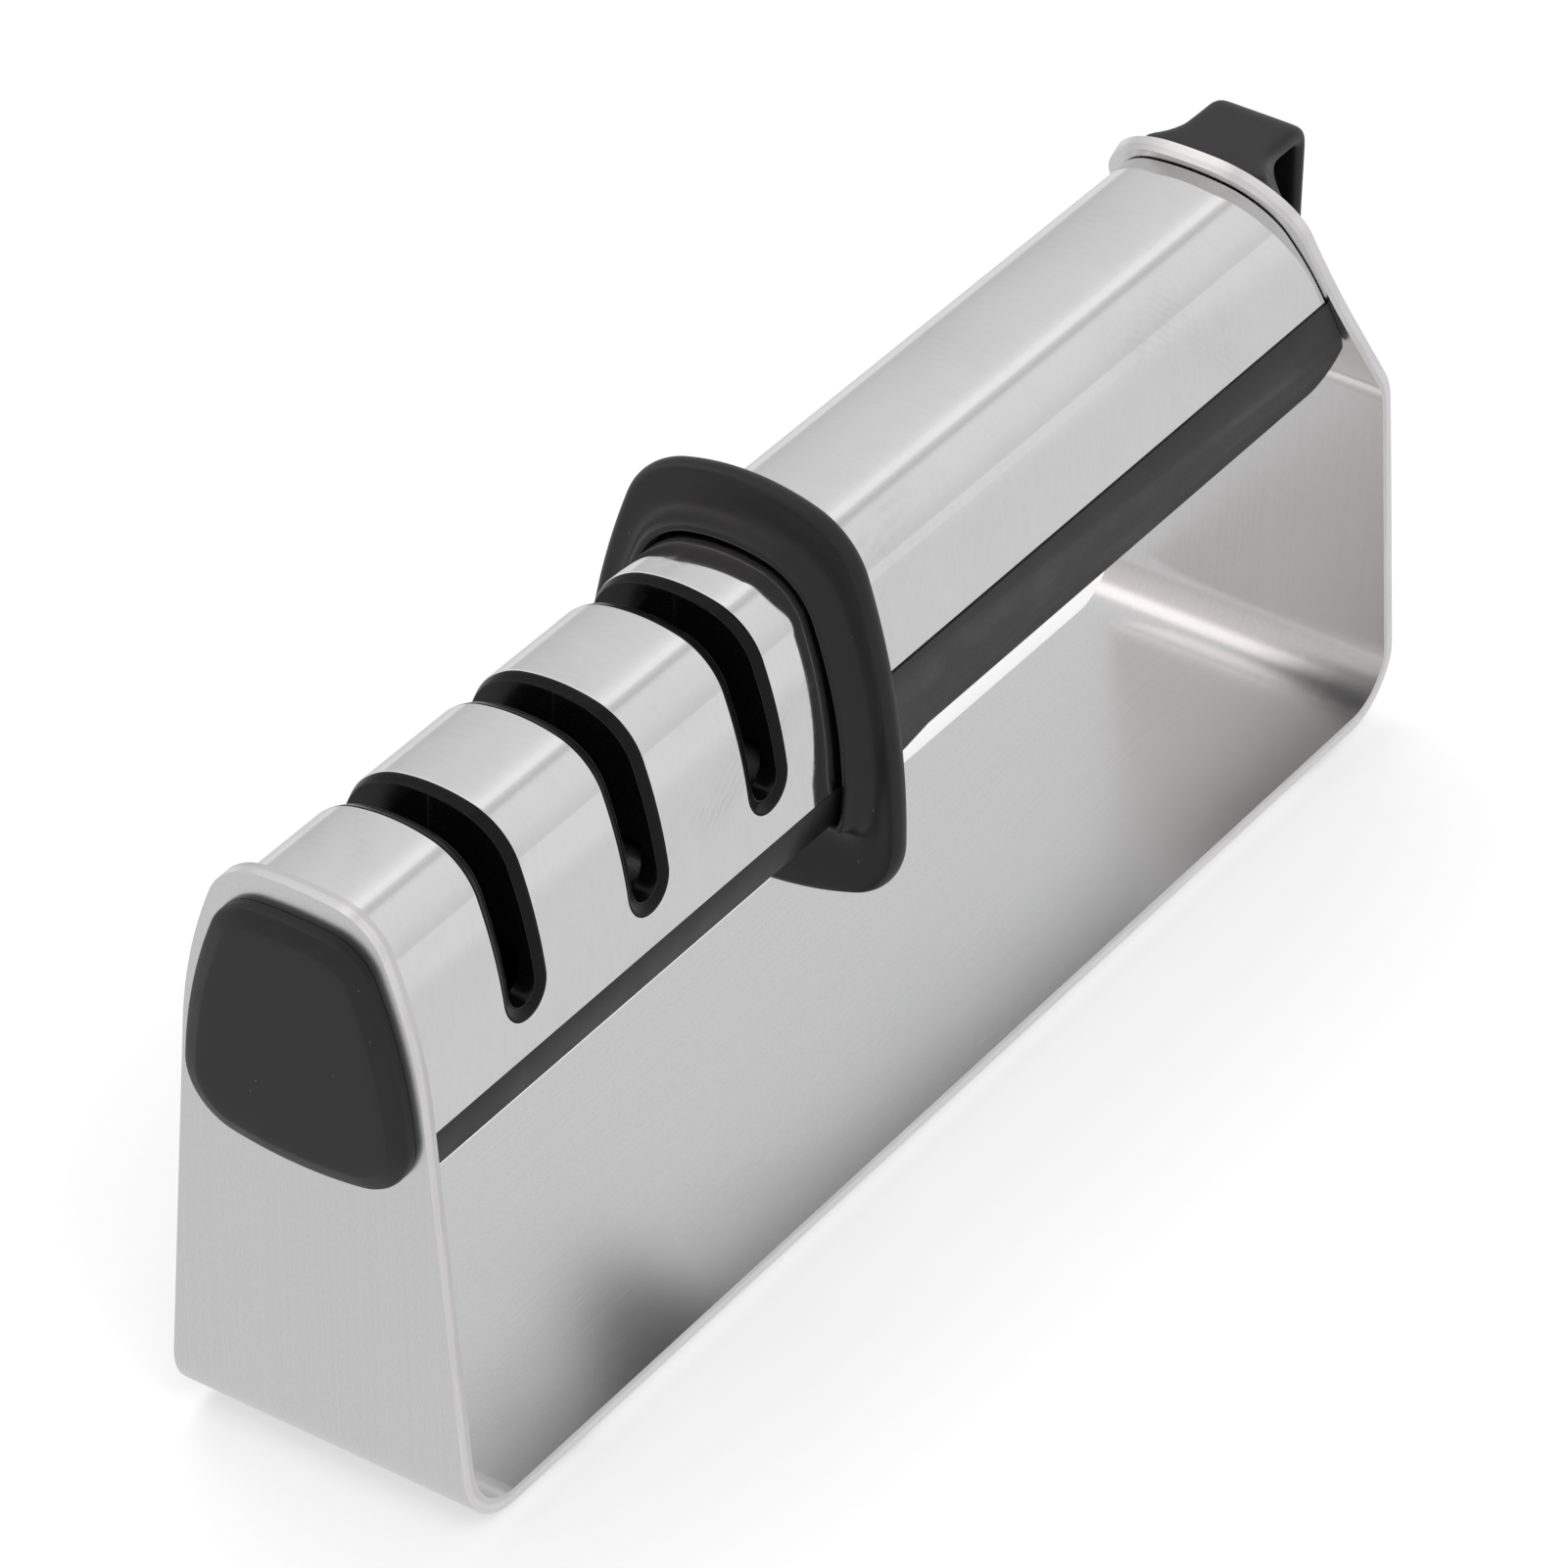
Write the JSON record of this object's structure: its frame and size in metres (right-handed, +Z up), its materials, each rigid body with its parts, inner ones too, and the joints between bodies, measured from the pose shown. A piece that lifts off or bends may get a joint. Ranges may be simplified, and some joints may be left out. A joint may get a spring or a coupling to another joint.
{
  "type": "pull through knife sharpener",
  "caption": "Bench knife sharpener: a bent steel stand carries an arched, slotted head with sharpening stages, a finger guard, a handle and a hanging loop.",
  "frame": {"origin": "middle of the whole object's box at its bottom, on the plane that the feet rest on", "axes": "+X along the stand from the slotted head to the hang loop, +Y across it, +Z up"},
  "size_m": [0.211, 0.0458, 0.0938],
  "materials": {
    "brushed_steel": "fine brushed, cut edges bright",
    "polished_steel": "mirror polished",
    "black_plastic": "satin, moulded",
    "rubber_feet": "matte",
    "screw_steel": "turned, plain",
    "carbide": "ground, dark grey",
    "diamond_coat": "fine grit coat",
    "dark_ceramic": "fine ground, dark"
  },
  "bodies": {
    "stand": {"base_strap": "brushed_steel", "foot_front_left": "rubber_feet", "foot_front_right": "rubber_feet", "foot_rear_left": "rubber_feet", "foot_rear_right": "rubber_feet", "core_left": "black_plastic", "core_right": "black_plastic", "head_shell": "polished_steel", "handle_shell": "polished_steel", "guard": "black_plastic", "front_cap": "black_plastic", "hang_loop": "black_plastic", "core_screws": "screw_steel", "front_leg_screws": "screw_steel", "rear_leg_screws": "screw_steel", "carbide_holder": "black_plastic", "carbide_blade_front": "carbide", "carbide_blade_rear": "carbide", "carbide_screw": "screw_steel", "diamond_axle_front": "screw_steel", "diamond_axle_rear": "screw_steel", "ceramic_axle_front": "screw_steel", "ceramic_axle_rear": "screw_steel"},
    "diamond_front": {"diamond_wheels_front": "diamond_coat"},
    "diamond_rear": {"diamond_wheels_rear": "diamond_coat"},
    "ceramic_front": {"ceramic_wheels_front": "dark_ceramic"},
    "ceramic_rear": {"ceramic_wheels_rear": "dark_ceramic"}
  },
  "joints": [
    {"name": "diamond_front_spin", "type": "hinge", "parent": "stand", "child": "diamond_front", "pos_m": [-0.06166, 0, 0.06379], "axis": [0, 1, 0], "continuous": true},
    {"name": "diamond_rear_spin", "type": "hinge", "parent": "stand", "child": "diamond_rear", "pos_m": [-0.05226, 0, 0.06379], "axis": [0, 1, 0], "continuous": true},
    {"name": "ceramic_front_spin", "type": "hinge", "parent": "stand", "child": "ceramic_front", "pos_m": [-0.03756, 0, 0.06379], "axis": [0, 1, 0], "continuous": true},
    {"name": "ceramic_rear_spin", "type": "hinge", "parent": "stand", "child": "ceramic_rear", "pos_m": [-0.02816, 0, 0.06379], "axis": [0, 1, 0], "continuous": true}
  ]
}
